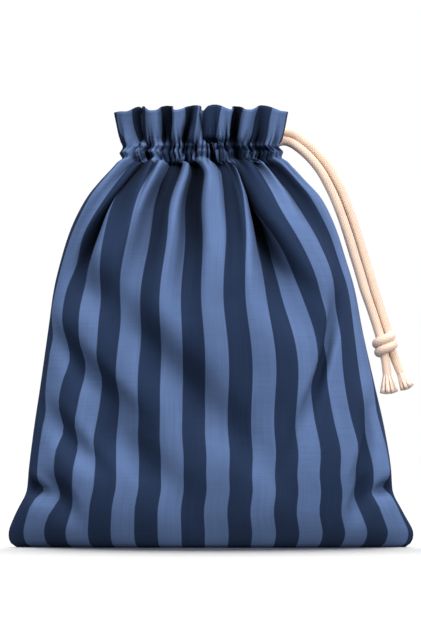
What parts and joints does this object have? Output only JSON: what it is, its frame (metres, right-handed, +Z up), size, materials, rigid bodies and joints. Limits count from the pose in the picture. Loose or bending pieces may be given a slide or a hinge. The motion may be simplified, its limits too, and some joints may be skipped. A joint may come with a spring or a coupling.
{
  "type": "drawstring gift pouch",
  "caption": "Standing striped cotton drawstring pouch with a gathered neck, a ruffled heading, flat sewn base corners and a knotted cotton cord hanging at one side.",
  "frame": {"origin": "on the surface it stands on, under the middle of the pouch", "axes": "+Z up, the front faces -Y, the knotted cord hangs on the +X side"},
  "size_m": [0.2524, 0.0934, 0.2736],
  "materials": {
    "striped_cotton": "plain woven cotton with broad lengthwise stripes in two blues",
    "cotton_cord": "finely braided undyed cotton cord",
    "frayed_cotton": "undyed cotton cord frayed into soft tufts"
  },
  "bodies": {
    "root": {"front_panel": "striped_cotton", "back_panel": "striped_cotton", "cord_front": "cotton_cord", "cord_back": "cotton_cord", "cord_knot": "cotton_cord", "tail_left": "frayed_cotton", "tail_right": "frayed_cotton"}
  },
  "joints": []
}
